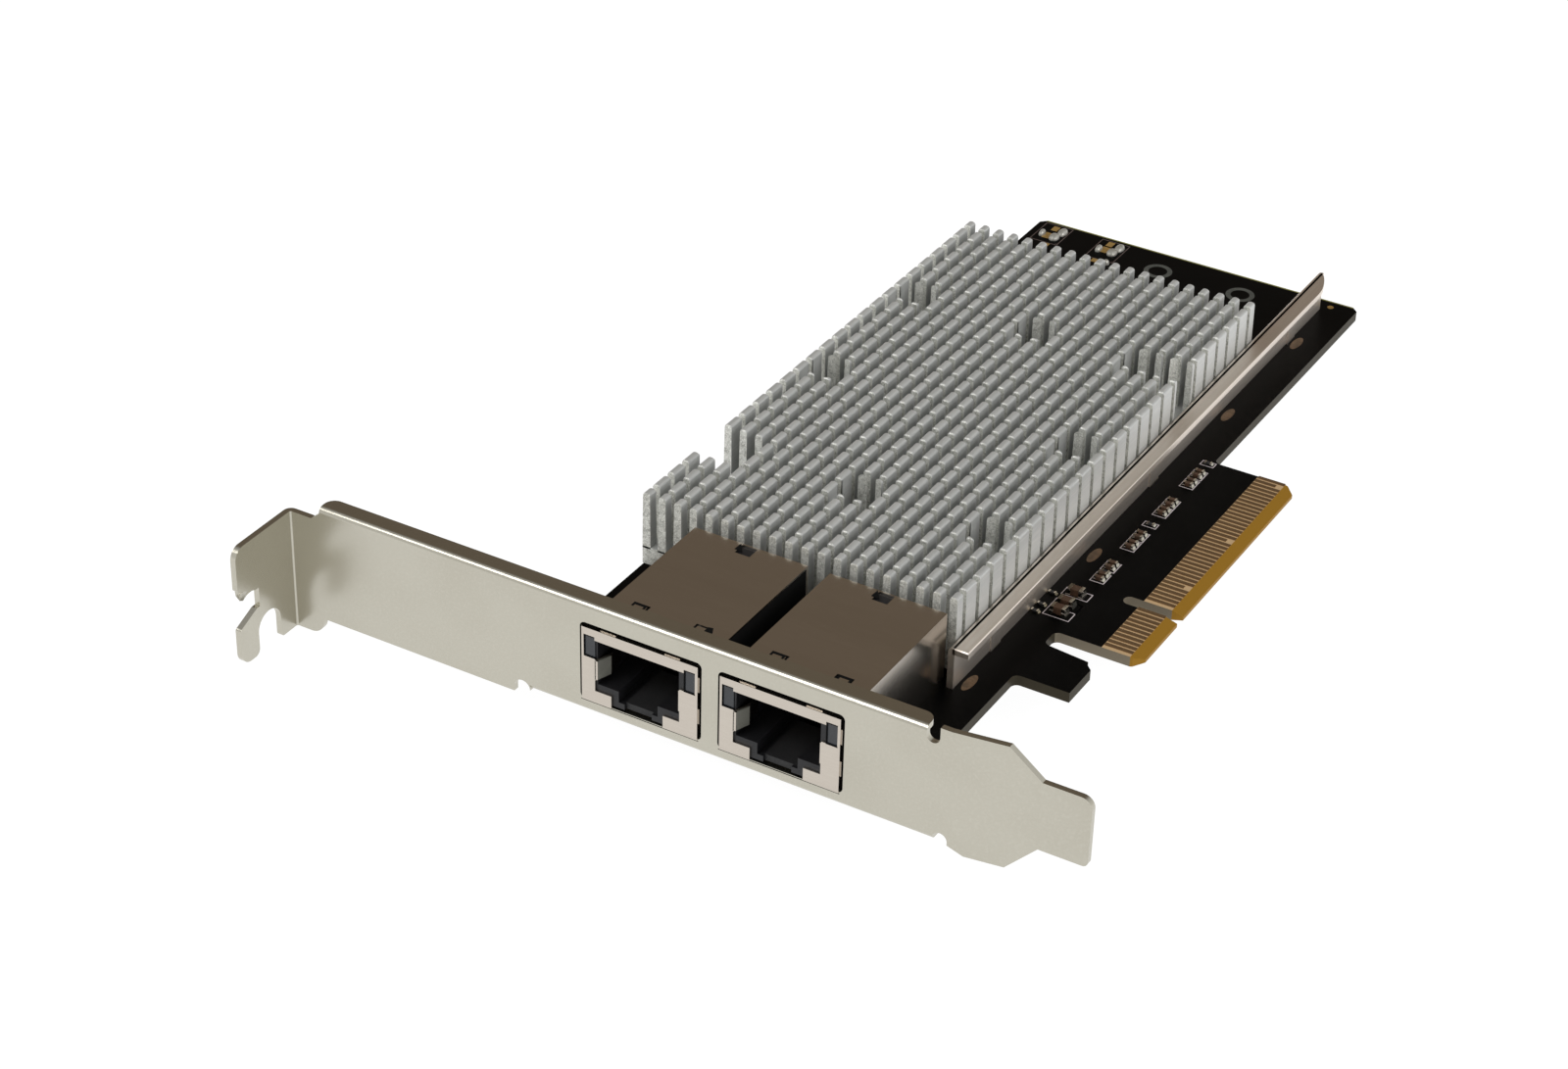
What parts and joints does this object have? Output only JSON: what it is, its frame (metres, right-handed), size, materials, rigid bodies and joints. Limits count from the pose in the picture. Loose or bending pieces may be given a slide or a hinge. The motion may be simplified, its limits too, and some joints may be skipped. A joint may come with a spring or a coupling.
{
  "type": "dual-port RJ45 network interface card",
  "caption": "Dual-port network interface card with a long pin heat sink, folded bracket, stiffener rail and gold card edge.",
  "frame": {"origin": "under the middle of the card's overall box, level with the lowest point of the bracket's tab", "axes": "+X along the bracket from the screw tab to the tongue, which is also towards the card edge; +Y from the bracket into the card; +Z out of the component side"},
  "size_m": [0.12, 0.1638, 0.0211],
  "materials": {
    "nickel_steel": "satin nickel plate, lightly scuffed",
    "zinc_screw": "zinc plate",
    "board_laminate": "black solder mask over glass laminate",
    "contact_gold": "thin gold plate",
    "shell_steel": "bright tin plate",
    "black_moulding": "moulded thermoplastic",
    "light_pipe": "smoky clear moulding",
    "tinned_pin": "solder tinned",
    "sink_aluminium": "plain extruded and sawn aluminium",
    "soft_pad": "soft silicone pad",
    "rail_steel": "bright plated sheet",
    "ceramic_brown": "ceramic with tinned ends",
    "dark_package": "moulded package",
    "crystal_can": "seam-welded can"
  },
  "bodies": {
    "root": {"bracket": "nickel_steel", "bracket_screws": "zinc_screw", "circuit_board": "board_laminate", "edge_contacts": "contact_gold", "jack_1_shell": "shell_steel", "jack_1_housing": "black_moulding", "jack_1_light_pipes": "light_pipe", "jack_1_contacts": "contact_gold", "jack_1_magnetics": "black_moulding", "jack_1_tails": "tinned_pin", "jack_2_shell": "shell_steel", "jack_2_housing": "black_moulding", "jack_2_light_pipes": "light_pipe", "jack_2_contacts": "contact_gold", "jack_2_magnetics": "black_moulding", "jack_2_tails": "tinned_pin", "heat_sink": "sink_aluminium", "controller_chip": "dark_package", "thermal_pad": "soft_pad", "heat_sink_spacers": "zinc_screw", "heat_sink_screws": "zinc_screw", "stiffener_rail": "rail_steel", "coupling_capacitors": "ceramic_brown", "bulk_capacitors": "ceramic_brown", "resistors": "dark_package", "power_inductors": "dark_package", "voltage_regulator": "dark_package", "filter_capacitors": "ceramic_brown", "flash_memory": "dark_package", "clock_crystal": "crystal_can"}
  },
  "joints": []
}
